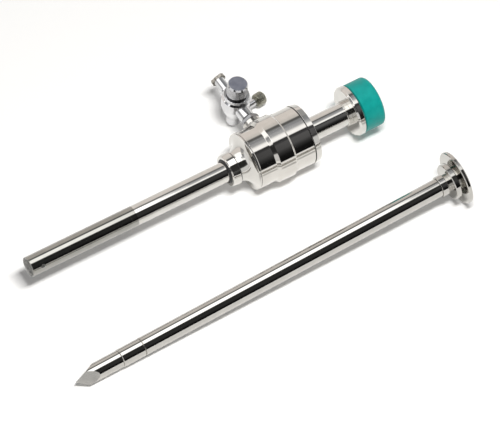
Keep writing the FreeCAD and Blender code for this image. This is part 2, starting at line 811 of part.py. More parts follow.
def make_tap():
    """The tapered plug, its lever with the knob, and the spring cap that keeps it seated."""
    above, below = size("valve_above"), -size("valve_below")
    hub_top = below - size("face_gap")
    hub_foot = hub_top - size("hub_drop") + size("hub_round")
    waist = hub_top - size("hub_waist_drop")
    shoulder = above - size("turn_gap")
    cap_low = above + size("washer_thick") + fit
    roof = cap_low + size("button_height") - size("button_roof")
    plug = turned("tap_plug", [
        (0, hub_top - size("hub_drop")),
        (radius("hub_foot") - size("hub_round"), hub_top - size("hub_drop"), size("hub_round")),
        (radius("hub_foot"), hub_foot),
        (radius("hub_waist"), waist),
        (radius("hub_top"), hub_top),
        (radius("plug_foot"), hub_top),
        (radius("plug_foot"), below),
        (radius("plug_top"), shoulder),
        (radius("post_outer"), shoulder),
        (radius("post_outer"), roof + size("button_roof") / 2),
        (0, roof + size("button_roof") / 2),
    ], TAP_TURN, x=tap_station, y=size("tap_offset"))
    drill(plug, "YZ_Plane", "channel", 0, 0, radius("port_bore"), both=True)
    drill(plug, "YZ_Plane", "lever", 0, -size("lever_drop"), radius("lever_rod") + fit,
          lift=size("lever_root"), reverse=True)

    along_lever = TAP_TURN.multiply(ALONG_X)
    lever_x, lever_z = on_tap_axis(-size("lever_drop"))
    knob_start = size("lever_reach") - size("knob_length")
    turned("tap_lever", [
        (0, size("lever_root") + fit),
        (radius("lever_rod"), size("lever_root") + fit),
        (radius("lever_rod"), knob_start + size("knob_length") / 2),
        (0, knob_start + size("knob_length") / 2),
    ], along_lever, x=lever_x, y=size("tap_offset"), z=lever_z)
    bore = radius("lever_rod") + fit
    outer, edge = radius("knob_outer"), size("knob_round")
    neck_end = knob_start + size("knob_neck_length")
    turned("lever_knob", [
        (bore, knob_start),
        (radius("knob_neck"), knob_start),
        (radius("knob_neck"), neck_end),
        (outer - edge, neck_end, edge),
        (outer, neck_end + edge),
        (outer, size("lever_reach") - edge, edge),
        (outer - edge, size("lever_reach")),
        (0, size("lever_reach")),
        (0, knob_start + size("knob_length") / 2 + fit),
        (bore, knob_start + size("knob_length") / 2 + fit),
    ], along_lever, x=lever_x, y=size("tap_offset"), z=lever_z)

    turned("tap_washer", [
        (radius("washer_inner"), above),
        (radius("washer_outer"), above),
        (radius("washer_outer"), above + size("washer_thick")),
        (radius("washer_inner"), above + size("washer_thick")),
    ], TAP_LEAN, x=tap_station, y=size("tap_offset"))

    top = cap_low + size("button_height")
    wall = radius("button_outer") - size("button_wall")
    turned("spring_cap", [
        (wall, cap_low),
        (radius("button_outer"), cap_low),
        (radius("button_outer"), top - size("button_bevel")),
        (radius("button_face"), top),
        (0, top),
        (0, roof + size("button_roof") / 2 + fit),
        (radius("post_outer") + fit, roof + size("button_roof") / 2 + fit),
        (radius("post_outer") + fit, roof),
        (wall, roof),
    ], TAP_TURN, x=tap_station, y=size("tap_offset"))
    make_spring(cap_low, roof)


def half_ring(coil, wire):
    """Half a turn of wire, drawn with six flats."""
    angles = [math.radians(60 * step) for step in range(7)]
    corners = [FreeCAD.Vector(coil + wire * math.cos(a), 0, wire * math.sin(a)) for a in angles]
    return Part.Face(Part.makePolygon(corners)).revolve(FreeCAD.Vector(), FreeCAD.Vector(0, 0, 1), 180)


def make_spring(low, high):
    """The coil spring round the plug's post. Each half turn is a half ring that leans the other way."""
    wire = SIZES["spring_wire"] / 2
    coil = SIZES["spring_outer"] / 2 - wire
    halves = round(SIZES["spring_turns"] * 2)
    rise = (number(high) - number(low) - wire * 2 - SIZES["fit_gap"]) / halves
    lean = math.degrees(math.atan2(rise, coil * 2))
    turns = []
    for half in range(halves):
        side = half % 2
        ring = half_ring(math.hypot(coil, rise / 2), wire)
        turn = FreeCAD.Rotation(FreeCAD.Vector(0, 1, 0), -lean if side else lean)
        flip = FreeCAD.Rotation(FreeCAD.Vector(0, 0, 1), side * 180)
        ring.Placement = FreeCAD.Placement(FreeCAD.Vector(0, 0, rise * half + rise / 2), turn.multiply(flip))
        turns.append(ring)
    spring = doc.addObject("Part::Feature", "tap_spring")
    spring.Label = "tap_spring"
    spring.Shape = turns[0].fuse(turns[1:])
    spring_x, spring_z = on_tap_axis(low + wire)
    place(spring, TAP_TURN, x=spring_x, y=size("tap_offset"), z=spring_z)


def make_obturator():
    """The blunt-handled obturator, lying beside the trocar on its point and its palm disc."""
    shaft, seat, point = radius("shaft_outer"), radius("shaft_seat"), radius("tip_outer")
    core = radius("shaft_inner")
    head = size("head_place")
    palm_start = head + size("small_disc_thick") + size("neck_gap")
    lie = leaning(radius("palm_outer") - point, palm_start - size("point_length"))
    nodes = []

    tip = turned("obturator_tip", [
        (0, 0),
        (point, 0),
        (point, size("tip_length")),
        (core - fit, size("tip_length")),
        (core - fit, size("tip_length") + size("tip_spigot_length")),
        (0, size("tip_length") + size("tip_spigot_length")),
    ])
    sketch = new_sketch(tip, "YZ_Plane", "facet")
    reach = shaft * 1.2
    outline(sketch, [
        (0, 0),
        (-reach, size("point_length") * 1.2),
        (-reach, 0),
    ])
    facet = tip.newObject("PartDesign::Pocket", "obturator_tip_facet_cut")
    facet.Profile = sketch
    facet.Type = "ThroughAll"
    facet.Midplane = True
    facets = tip.newObject("PartDesign::PolarPattern", "obturator_tip_facets")
    facets.Originals = [facet]
    facets.Axis = (sketch, ["V_Axis"])
    facets.Angle = 360
    facets.Occurrences = 3
    tip.Tip = facets
    nodes.append(tip)

    mark, depth = size("mark_place"), size("mark_depth")
    shaft_end = head + size("small_disc_thick") - fit
    collar_end = head - size("collar_ahead")
    collar_start = collar_end - size("collar_length")
    nodes.append(turned("obturator_shaft", [
        (core, size("tip_length") + fit),
        (shaft, size("tip_length") + fit),
        (shaft, mark),
        (shaft - depth, mark),
        (shaft - depth, mark + size("mark_width")),
        (shaft, mark + size("mark_width")),
        (shaft, collar_start - fit * 2),
        (seat, collar_start - fit * 2),
        (seat, shaft_end),
        (core, shaft_end),
    ]))
    nodes.append(turned("head_collar", [
        (seat + fit, collar_start),
        (radius("collar_outer"), collar_start),
        (radius("collar_outer"), collar_end),
        (seat + fit, collar_end),
    ]))
    bevel = size("disc_bevel")
    small = radius("small_disc_outer")
    nodes.append(turned("small_disc", [
        (seat + fit, head),
        (small - bevel, head),
        (small, head + bevel),
        (small, head + size("small_disc_thick") - bevel),
        (small - bevel, head + size("small_disc_thick")),
        (seat + fit, head + size("small_disc_thick")),
    ]))
    palm = radius("palm_outer")
    disc_end = head + size("small_disc_thick")
    rim_end = palm_start + size("palm_rim")
    nodes.append(turned("palm_disc", [
        (0, disc_end - size("palm_spigot_length")),
        (core - fit, disc_end - size("palm_spigot_length")),
        (core - fit, disc_end),
        (radius("disc_boss"), disc_end),
        (radius("disc_boss"), palm_start),
        (palm - bevel, palm_start),
        (palm, palm_start + bevel),
        (palm, rim_end - bevel),
        (palm - bevel, rim_end),
        (radius("palm_dome_face"), rim_end + size("palm_dome")),
        (0, rim_end + size("palm_dome")),
    ]))

    # The pieces share one lean, about the point's heel that touches the surface, and one turn.
    lift = point * math.cos(math.radians(lie.value)) - floor
    lift = lift - size("point_length") * math.sin(math.radians(lie.value))
    turn = FreeCAD.Rotation(FreeCAD.Vector(0, 0, 1), SIZES["obturator_turn"])
    tilt = FreeCAD.Rotation(FreeCAD.Vector(0, 1, 0), -lie.value)
    stand = turn.multiply(tilt).multiply(ALONG_X)
    for node in nodes:
        place(node, stand, x=-size("obturator_ahead"), y=-size("obturator_side"), z=lift)


make_cannula()
make_nose()
make_barrel()
make_rear()
make_valve()
make_stopcock()
make_tap()
make_obturator()
doc.recompute()

failed = [item.Label for item in doc.Objects if {"Invalid", "Error"} & set(item.State)]
if failed:
    raise SystemExit(f"These did not build: {failed}")

# The bodies and the free-standing primitives are the pieces, one file each.
pieces = [item for item in doc.Objects
          if item.TypeId in ("PartDesign::Body", "Part::Cylinder", "Part::Feature")]
for piece in pieces:
    if piece.Shape.isNull() or not piece.Shape.isValid():
        raise SystemExit(f"{piece.Label} has no valid shape")

os.makedirs("parts", exist_ok=True)
for piece in pieces:
    piece.Shape.exportStep(f"parts/{piece.Label}.step")
    box = piece.Shape.BoundBox
    print(f"{piece.Label}: {len(piece.Shape.Solids)} solid, {piece.Shape.Volume:.1f} mm3, "
          f"x {box.XMin:.1f} to {box.XMax:.1f}, y {box.YMin:.1f} to {box.YMax:.1f}, "
          f"z {box.ZMin:.1f} to {box.ZMax:.1f}")
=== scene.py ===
import math

import bmesh
import bpy
from mathutils import Matrix, Vector


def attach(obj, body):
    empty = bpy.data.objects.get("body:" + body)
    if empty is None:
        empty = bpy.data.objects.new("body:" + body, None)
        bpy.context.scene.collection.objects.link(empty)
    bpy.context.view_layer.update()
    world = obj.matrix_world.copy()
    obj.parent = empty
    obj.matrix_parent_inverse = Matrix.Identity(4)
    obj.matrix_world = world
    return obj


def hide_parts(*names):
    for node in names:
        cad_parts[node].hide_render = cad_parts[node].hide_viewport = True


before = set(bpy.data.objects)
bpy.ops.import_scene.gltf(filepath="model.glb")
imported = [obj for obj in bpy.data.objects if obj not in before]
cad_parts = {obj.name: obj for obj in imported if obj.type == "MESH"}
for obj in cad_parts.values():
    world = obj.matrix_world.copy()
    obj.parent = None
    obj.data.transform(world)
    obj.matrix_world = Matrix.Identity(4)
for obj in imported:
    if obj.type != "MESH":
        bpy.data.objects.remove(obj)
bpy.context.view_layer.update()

# Lengths below are in millimetres, as on a workshop drawing. MM turns them into metres.
MM = 0.001

# Ways a turned piece lies: its own Z axis becomes the trocar's X or Y
ALONG_X = Matrix(((0, 0, 1), (1, 0, 0), (0, 1, 0))).to_4x4()
ALONG_Y = Matrix(((0, 1, 0), (0, 0, 1), (1, 0, 0))).to_4x4()

# The rounding of a turned edge that says no other
EDGE = 0.08


# Materials

def new_material(name):
    """A material with a Principled shader, and the pieces of its node tree."""
    material = bpy.data.materials.new(name)
    material.use_nodes = True
    tree = material.node_tree
    shader = tree.nodes["Principled BSDF"]
    return material, tree, shader


def add(tree, kind, **settings):
    node = tree.nodes.new(kind)
    for key, value in settings.items():
        setattr(node, key, value)
    return node


def object_noise(tree, scale, detail):
    """Noise on the piece's own Object coordinates, at a scale in cycles per metre."""
    place = add(tree, "ShaderNodeTexCoord")
    noise = add(tree, "ShaderNodeTexNoise")
    noise.inputs["Scale"].default_value = scale
    noise.inputs["Detail"].default_value = detail
    tree.links.new(place.outputs["Object"], noise.inputs["Vector"])
    return noise.outputs["Fac"]


def turning_lines(tree, scale, detail):
    """Fine lines that run round a turned piece: noise along its outline only, in cycles per millimetre."""
    along = add(tree, "ShaderNodeAttribute", attribute_name="along")
    noise = add(tree, "ShaderNodeTexNoise", noise_dimensions="1D")
    noise.inputs["Scale"].default_value = scale
    noise.inputs["Detail"].default_value = detail
    tree.links.new(along.outputs["Fac"], noise.inputs["W"])
    return noise.outputs["Fac"]


def spread(tree, value, low, high):
    """Maps a noise value on to the range from low to high."""
    ranged = add(tree, "ShaderNodeMapRange")
    ranged.inputs["From Min"].default_value = 0.3
    ranged.inputs["From Max"].default_value = 0.7
    ranged.inputs["To Min"].default_value = low
    ranged.inputs["To Max"].default_value = high
    tree.links.new(value, ranged.inputs["Value"])
    return ranged.outputs["Result"]


def two_tones(tree, value, dark, light, start=0.35, end=0.65):
    """Maps a noise value on to the colours from dark to light."""
    ramp = add(tree, "ShaderNodeValToRGB")
    ramp.color_ramp.elements[0].position = start
    ramp.color_ramp.elements[0].color = (*dark, 1)
    ramp.color_ramp.elements[1].position = end
    ramp.color_ramp.elements[1].color = (*light, 1)
    tree.links.new(value, ramp.inputs["Fac"])
    return ramp.outputs["Color"]


def bump(tree, shader, height, depth):
    """Relief from a height of 0 to 1, depth metres deep."""
    relief = add(tree, "ShaderNodeBump")
    relief.inputs["Strength"].default_value = 1.0
    relief.inputs["Distance"].default_value = depth
    tree.links.new(height, relief.inputs["Height"])
    tree.links.new(relief.outputs["Normal"], shader.inputs["Normal"])


def steel(name, dark, light, polish, wear, line_depth):
    """Turned steel: handling smudges in colour and gloss, and lines left by the polishing lathe."""
    material, tree, shader = new_material(name)
    shader.inputs["Metallic"].default_value = 1.0
    smudges_per_metre, lines_per_mm = 140.0, 9.0
    smudge = object_noise(tree, smudges_per_metre, 4.0)
    tree.links.new(two_tones(tree, smudge, dark, light), shader.inputs["Base Color"])
    tree.links.new(spread(tree, smudge, polish, wear), shader.inputs["Roughness"])
    bump(tree, shader, turning_lines(tree, lines_per_mm, 2.0), line_depth)
    return material


def make_painted_light_bore():
    """The tube's bore, matt and painted pale: painted light that makes its mouth read bright instead of dark.
    """
    material = steel("painted_light_bore", (0.74, 0.735, 0.72), (0.80, 0.795, 0.78), 0.34, 0.46, 2e-6)
    material.node_tree.nodes["Principled BSDF"].inputs["Metallic"].default_value = 0.35
    return material


def satin_cap_steel():
    """Blued satin face of the spring cap, with the rings that facing it on a lathe leaves."""
    material, tree, shader = new_material("satin_cap_steel")
    shader.inputs["Metallic"].default_value = 0.85
    smudges_per_metre, lines_per_mm = 420.0, 14.0
    smudge = object_noise(tree, smudges_per_metre, 5.0)
    tree.links.new(two_tones(tree, smudge, (0.225, 0.235, 0.285), (0.285, 0.295, 0.345)),
                   shader.inputs["Base Color"])
    tree.links.new(spread(tree, smudge, 0.36, 0.48), shader.inputs["Roughness"])
    bump(tree, shader, turning_lines(tree, lines_per_mm, 3.0), 6e-6)
    return material


def rubber(name, dark, light, gloss_low, gloss_high, grain, grain_depth):
    """Moulded rubber: a fine skin, with grain in cycles per metre, and a little dust."""
    material, tree, shader = new_material(name)
    specks_per_metre = 300.0
    dust = object_noise(tree, specks_per_metre, 5.0)
    tree.links.new(two_tones(tree, dust, dark, light, 0.3, 0.75), shader.inputs["Base Color"])
    tree.links.new(spread(tree, dust, gloss_low, gloss_high), shader.inputs["Roughness"])
    bump(tree, shader, object_noise(tree, grain, 2.0), grain_depth)
    return material


def seal_cap_silicone():
    """Dyed silicone, which lets a little light in below its skin."""
    material = rubber("teal_silicone", (0.0, 0.29, 0.26), (0.002, 0.35, 0.31), 0.40, 0.52, 2600.0, 7e-6)
    shader = material.node_tree.nodes["Principled BSDF"]
    shader.inputs["Specular IOR Level"].default_value = 0.3
    shader.inputs["Subsurface Weight"].default_value = 0.12
    shader.inputs["Subsurface Radius"].default_value = (0.4, 1.2, 1.1)
    shader.inputs["Subsurface Scale"].default_value = 0.0012
    return material


mirror_steel = steel("mirror_steel", (0.60, 0.585, 0.555), (0.64, 0.625, 0.595), 0.035, 0.075, 0.6e-7)
housing_steel = steel("housing_steel", (0.60, 0.58, 0.545), (0.64, 0.62, 0.585), 0.03, 0.07, 0.5e-7)
obturator_steel = steel("obturator_steel", (0.47, 0.458, 0.433), (0.51, 0.498, 0.47), 0.035, 0.075, 0.6e-7)
chrome = steel("chrome", (0.60, 0.60, 0.607), (0.70, 0.70, 0.707), 0.03, 0.07, 0.6e-7)
ground_steel = steel("ground_steel", (0.31, 0.305, 0.283), (0.35, 0.343, 0.318), 0.07, 0.12, 1.0e-7)
painted_light_bore = make_painted_light_bore()
cap_side_steel = steel("cap_side_steel", (0.44, 0.44, 0.45), (0.54, 0.54, 0.55), 0.10, 0.18, 0.8e-7)
satin_steel = satin_cap_steel()
nut_steel = steel("nut_steel", (0.20, 0.20, 0.205), (0.27, 0.27, 0.275), 0.06, 0.12, 0.8e-7)
# Near-black steel: painted shade for the narrow gaps at the lock nut's chamfers and beside the stem's
# shoulder
painted_gap_shade_steel = steel("painted_gap_shade_steel", (0.030, 0.030, 0.034), (0.065, 0.065, 0.070), 0.28, 0.42, 1e-6)
lug_steel = steel("lug_steel", (0.22, 0.205, 0.18), (0.36, 0.34, 0.31), 0.24, 0.38, 3e-6)
knob_steel = steel("knob_steel", (0.25, 0.245, 0.20), (0.40, 0.39, 0.33), 0.20, 0.34, 3e-6)
inner_steel = steel("inner_steel", (0.46, 0.45, 0.43), (0.56, 0.55, 0.53), 0.16, 0.28, 2e-6)
magnet_nickel = steel("magnet_nickel", (0.52, 0.49, 0.44), (0.60, 0.57, 0.52), 0.12, 0.2, 1e-6)
black_rubber = rubber("black_rubber", (0.008, 0.008, 0.009), (0.020, 0.020, 0.021), 0.38, 0.55, 4200.0, 9e-6)
teal_silicone = seal_cap_silicone()
clear_silicone = rubber("clear_silicone", (0.62, 0.63, 0.60), (0.76, 0.77, 0.74), 0.30, 0.45, 2600.0, 6e-6)


# Turned pieces

# Two faces that meet at more than this have a hard edge, where flats are pressed into a turned piece
FLAT_FROM = math.radians(28)


def left_of(step):
    """The outline's normal on the left of a step, as (along, out)."""
    length = math.hypot(*step)
    return (-step[1] / length, step[0] / length)


def bend(start, end, radius, steps=10):
    """Smooth points on the arc from start to end, for a flare. A positive radius turns left."""
    start, end = Vector(start), Vector(end)
    half = (end - start) / 2
    side = Vector((-half.y, half.x)).normalized()
    centre = start + half + side * math.copysign(math.sqrt(radius ** 2 - half.length ** 2), radius)
    first = math.atan2(*(start - centre).yx)
    last = math.atan2(*(end - centre).yx)
    turn = (last - first) % math.tau if radius > 0 else -((first - last) % math.tau)
    points = []
    for step in range(1, steps):
        angle = first + turn * step / steps
        spot = centre + abs(radius) * Vector((math.cos(angle), math.sin(angle)))
        points.append((spot.x, spot.y, "smooth"))
    return points


# How finely the rounding of an edge is divided
DEGREES_PER_STEP = 18


def soften(corners):
    """Rounds every corner of an outline and gives each point with its outward normal.

    A corner is (along, out), (along, out, rounding) or (along, out, "smooth"). The outline is closed,
    or starts and ends on the axis, and goes round the solid with the solid on its right."""
    count = len(corners)
    on_axis = corners[0][1] == 0
    points = []
    for index, corner in enumerate(corners):
        here = Vector(corner[:2])
        before = Vector(corners[index - 1][:2])
        after = Vector(corners[(index + 1) % count][:2])
        if on_axis and index in (0, count - 1):
            step = after - here if index == 0 else here - before
            points.append((here.x, 0.0, left_of(step)))
            continue
        into, out = here - before, after - here
        rounding = corner[2] if len(corner) == 3 else EDGE
        if rounding == "smooth":
            normal = (Vector(left_of(into)) + Vector(left_of(out))).normalized()
            points.append((here.x, here.y, tuple(normal)))
            continue
        turn = into.angle_signed(out)
        reach = abs(math.tan(turn / 2)) * rounding
        limit = 0.45 * min(into.length, out.length)
        if reach > limit:
            rounding *= limit / reach
            reach = limit
        first = here - into.normalized() * reach
        last = here + out.normalized() * reach
        from_normal, to_normal = Vector(left_of(into)), Vector(left_of(out))
        # the rounding's centre lies on the solid's side of a ridge and outside a hollow
        side = 1 if turn > 0 else -1
        centre = first - from_normal * rounding * side
        steps = max(2, math.ceil(abs(math.degrees(turn)) / DEGREES_PER_STEP))
        points.append((first.x, first.y, tuple(from_normal)))
        for step in range(1, steps):
            normal = from_normal.slerp(to_normal, step / steps)
            spot = centre + normal * rounding * side
            points.append((spot.x, spot.y, tuple(normal)))
        points.append((last.x, last.y, tuple(to_normal)))
    return points, not on_axis


def lengths_along(points, closed):
    """How far along the outline each point is, and last the whole way round where the outline is closed."""
    ends = points + points[:1] if closed else points
    lengths = [0.0]
    for before, here in zip(ends, ends[1:]):
        lengths.append(lengths[-1] + math.dist(before[:2], here[:2]))
    return lengths


def turn_rings(maker, along_layer, points, lengths, place, segments, shape):
    """A ring of vertices for each point of the outline, or one on the axis, and every vertex's normal."""
    rings, normals = [], []
    for (along, out, normal), length in zip(points, lengths):
        ring = []
        for step in range(1 if out == 0 else segments):
            angle = math.tau * step / segments
            reach = shape(angle, out, along) if shape else out
            spot = Vector((reach * math.cos(angle), reach * math.sin(angle), along)) * MM
            vertex = maker.verts.new(place @ spot)
            vertex[along_layer] = length
            ring.append(vertex)
            local = Vector((normal[1] * math.cos(angle), normal[1] * math.sin(angle), normal[0]))
            normals.append(place.to_3x3() @ local)
        rings.append(ring)
    return rings, normals


def fill_band(maker, uv_layer, low, high, heights, slot, segments):
    """The faces between two rings, at their two heights from 0 to 1 on the unrolled sheet."""
    for step in range(segments):
        beside = (step + 1) % segments
        corners = {}
        corners.setdefault(low[step % len(low)], (step, 0))
        corners.setdefault(low[beside % len(low)], (step + 1, 0))
        corners.setdefault(high[beside % len(high)], (step + 1, 1))
        corners.setdefault(high[step % len(high)], (step, 1))
        if len(corners) < 3:
            continue
        face = maker.faces.new(list(corners))
        face.smooth = True
        face.material_index = slot
        for loop, (across, side) in zip(face.loops, corners.values()):
            loop[uv_layer].uv = (across / segments, heights[side])


def turned(name, corners, turn, origin=(0, 0, 0), segments=144, finish=None, finishes=None, shape=None):
    """A turned piece as one closed smooth mesh, all in one finish or in several.

    finishes is a list of (material, rule): the first rule that holds for a ring's middle (along, out) gives
    its material, and the last one always holds. shape(angle, out, along) may press flats into the round."""
    finishes = finishes or [(finish, lambda along, out: True)]
    points, closed = soften(corners)
    lengths = lengths_along(points, closed)
    mesh = bpy.data.meshes.new(name)
    maker = bmesh.new()
    along_layer = maker.verts.layers.float.new("along")
    uv_layer = maker.loops.layers.uv.new("turn")
    place = Matrix.Translation(Vector(origin) * MM) @ turn
    rings, normals = turn_rings(maker, along_layer, points, lengths, place, segments, shape)
    for index in range(len(lengths) - 1):
        after = (index + 1) % len(points)
        along = (points[index][0] + points[after][0]) / 2
        out = (points[index][1] + points[after][1]) / 2
        slot = next(number for number, (_, rule) in enumerate(finishes) if rule(along, out))
        heights = (lengths[index] / lengths[-1], lengths[index + 1] / lengths[-1])
        fill_band(maker, uv_layer, rings[index], rings[after], heights, slot, segments)
    maker.normal_update()
    maker.to_mesh(mesh)
    maker.free()
    for material, _ in finishes:
        mesh.materials.append(material)
    piece = bpy.data.objects.new(name, mesh)
    bpy.context.scene.collection.objects.link(piece)
    if shape:
        mesh.set_sharp_from_angle(angle=FLAT_FROM)
    else:
        mesh.normals_split_custom_set_from_vertices(normals)
    return piece


def settle(piece, body, slot, *nodes):
    """Puts a finished piece on its body, in place of the nodes that it stands for."""
    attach(piece, body)
    if nodes:
        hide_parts(*nodes)


# Camera, light and floor

# The camera: its distance in pixels, the scale, and the way it looks in degrees
FOCAL = 20000.0
PIXELS_PER_MM = 1.925
PICTURE_WIDTH = 500
AZIMUTH, ELEVATION, ROLL = 32.01, 52.95, 0.57

# The spot on the table that it aims at, and how far its view is then moved to the right and up
AIM_X, AIM_Y = 105.0, -32.0
SHIFT_RIGHT, SHIFT_UP = 8.74, 15.54

FLOOR_HEIGHT = -17.4

# What the table gives off for the eye and for mirrors, and the grey that the world lights the object with
TABLE_LIFT = 0.12
FILL = 0.14

# The panels of the studio tent, by the angle from straight up in degrees: minus behind the table, plus in
# front of it.
TENT = [
    (-90, (0.98, 0.92, 0.88)),
    (-58, (0.98, 0.92, 0.88)),
    (-38, (0.78, 0.76, 0.73)),
    (-35.5, (0.20, 0.195, 0.19)),
    (-32, (0.34, 0.35, 0.36)),
    (-17, (0.38, 0.39, 0.41)),
    (-13, (0.50, 0.51, 0.53)),
    (-4, (0.62, 0.63, 0.65)),
    (1, (1.20, 1.20, 1.20)),
    (5, (1.50, 1.50, 1.50)),
    (14, (1.50, 1.50, 1.50)),
    (17, (0.05, 0.05, 0.053)),
    (25, (0.07, 0.07, 0.075)),
    (30, (0.14, 0.14, 0.145)),
    (48, (0.12, 0.12, 0.124)),
    (60, (0.045, 0.045, 0.046)),
    (72, (0.012, 0.012, 0.012)),
    (90, (0.006, 0.006, 0.006)),
]

# Cards hung in the tent, each in front of the ones before it: the brightness, where the card starts and ends
# in metres along the table and in degrees round it, and over how many metres its ends fade.
CARDS = [
    (0.45, (-3.2, -1.60), (-95, -45), 0.05),
    (0.45, (0.95, 3.2), (-72, -34), 0.05),
    (0.15, (0.30, 0.95), (-38, -27), 0.05),
    (1.7, (-1.55, 0.16), (-52, -12), 0.06),
    (2.7, (-0.9, 0.604), (-22, 14.5), 0.012),
    (0.045, (-0.9, 0.665), (18, 62), 0.03),
    (0.03, (-2.2, 0.32), (20, 54), 0.06),
    (0.85, (-2.9, 0.30), (62, 93), 0.06),
    (0.85, (0.82, 3.2), (62, 93), 0.04),
]
CARD_EDGE = 0.05


def place_camera():
    """A long lens from the front and above, with its sensor as wide as the picture's 500 pixels."""
    azimuth, elevation, roll = (math.radians(angle) for angle in (AZIMUTH, ELEVATION, ROLL))
    outward = Vector((-math.sin(azimuth) * math.cos(elevation), -math.cos(azimuth) * math.cos(elevation),
                      math.sin(elevation)))
    right = (-outward).cross(Vector((0, 0, 1))).normalized()
    up = right.cross(-outward)
    right, up = (math.cos(roll) * right + math.sin(roll) * up, math.cos(roll) * up - math.sin(roll) * right)
    target = Vector((AIM_X, AIM_Y, FLOOR_HEIGHT)) + right * SHIFT_RIGHT + up * SHIFT_UP
    place = (target + outward * (FOCAL / PIXELS_PER_MM)) * MM
    lens = bpy.data.cameras.new("camera")
    lens.sensor_width = 36.0
    lens.lens = lens.sensor_width * FOCAL / PICTURE_WIDTH
    lens.clip_start = 1.0
    lens.clip_end = 100.0
    camera = bpy.data.objects.new("camera", lens)
    axes = Matrix((right, up, outward)).transposed()
    camera.matrix_world = Matrix.Translation(place) @ axes.to_4x4()
    bpy.context.scene.collection.objects.link(camera)
    bpy.context.scene.camera = camera


def seen_directly(tree):
    """1 for what the camera, a mirror or clear glass sees, and 0 for the light that falls on the object."""
    path = add(tree, "ShaderNodeLightPath")
    seen = path.outputs["Is Camera Ray"]
    for kind in ("Is Glossy Ray", "Is Transmission Ray"):
        either = add(tree, "ShaderNodeMath", operation="MAXIMUM")
        tree.links.new(seen, either.inputs[0])
        tree.links.new(path.outputs[kind], either.inputs[1])
        seen = either.outputs[0]
    return seen


def place_floor():
    """A white table. A little light of its own, for the eye and for mirrors, takes it to full white."""
    floor = bpy.data.meshes.new("studio_floor")
    half = 3.0
    maker = bmesh.new()
    corners = [(-half, -half), (half, -half), (half, half), (-half, half)]
    maker.faces.new([maker.verts.new((x, y, FLOOR_HEIGHT * MM)) for x, y in corners])
    maker.to_mesh(floor)
    maker.free()
    material, tree, shader = new_material("white_table")
    shader.inputs["Base Color"].default_value = (0.93, 0.92, 0.90, 1)
    shader.inputs["Roughness"].default_value = 0.9
    shader.inputs["Specular IOR Level"].default_value = 0.1
    level = add(tree, "ShaderNodeMath", operation="MULTIPLY")
    level.inputs[1].default_value = TABLE_LIFT
    tree.links.new(seen_directly(tree), level.inputs[0])
    lift = add(tree, "ShaderNodeEmission")
    tree.links.new(level.outputs[0], lift.inputs["Strength"])
    both = add(tree, "ShaderNodeAddShader")
    tree.links.new(shader.outputs[0], both.inputs[0])
    tree.links.new(lift.outputs[0], both.inputs[1])
    tree.links.new(both.outputs[0], tree.nodes["Material Output"].inputs["Surface"])
    floor.materials.append(material)
    table = bpy.data.objects.new("studio_floor", floor)
    bpy.context.scene.collection.objects.link(table)


def build_world():
    """White all round for the eye and for reflections, and an even grey fill for the light."""
    world = bpy.data.worlds.new("studio")
    bpy.context.scene.world = world
    world.use_nodes = True
    tree = world.node_tree
    white = add(tree, "ShaderNodeMix", data_type="RGBA")
    white.inputs["A"].default_value = (FILL, FILL, FILL, 1)
    white.inputs["B"].default_value = (1, 1, 1, 1)
    tree.links.new(seen_directly(tree), white.inputs["Factor"])
    tree.links.new(white.outputs["Result"], tree.nodes["Background"].inputs["Color"])


def tent_angle(tree, parts):
    """The angle round the tent from straight up, in radians: minus behind the table, plus in front."""
    forward = add(tree, "ShaderNodeMath", operation="MULTIPLY")
    forward.inputs[1].default_value = -1.0
    tree.links.new(parts.outputs["Y"], forward.inputs[0])
    angle = add(tree, "ShaderNodeMath", operation="ARCTAN2")
    tree.links.new(forward.outputs[0], angle.inputs[0])
    tree.links.new(parts.outputs["Z"], angle.inputs[1])
    return angle.outputs[0]


def tent_panels(tree, angle):
    """The colour of the panels at an angle round the tent."""
    scaled = add(tree, "ShaderNodeMapRange")
    scaled.inputs["From Min"].default_value = math.radians(-90)
    scaled.inputs["From Max"].default_value = math.radians(90)
    tree.links.new(angle, scaled.inputs["Value"])
    ramp = add(tree, "ShaderNodeValToRGB")
    strip = ramp.color_ramp
    while len(strip.elements) > 1:
        strip.elements.remove(strip.elements[-1])
    for index, (degrees, colour) in enumerate(TENT):
        spot = (degrees + 90) / 180
        element = strip.elements[0] if index == 0 else strip.elements.new(spot)
        element.position = spot
        element.color = (*colour, 1)
    tree.links.new(scaled.outputs["Result"], ramp.inputs["Fac"])
    return ramp.outputs["Color"]


def between(tree, value, start, end, edge):
    """1 between start and end, 0 outside, and a straight fade of twice the edge at each."""
    across = add(tree, "ShaderNodeMapRange")
    across.inputs["From Min"].default_value = start - edge
    across.inputs["From Max"].default_value = end + edge
    tree.links.new(value, across.inputs["Value"])
    window = add(tree, "ShaderNodeFloatCurve")
    tree.links.new(across.outputs["Result"], window.inputs["Value"])
    fade = 2 * edge / (end - start + 2 * edge)
    curve = window.mapping.curves[0]
    curve.points[0].location = (0, 0)
    curve.points[1].location = (1, 0)
    curve.points.new(fade, 1)
    curve.points.new(1 - fade, 1)
    for point in curve.points:
        point.handle_type = "VECTOR"
    window.mapping.update()
    return window.outputs["Value"]


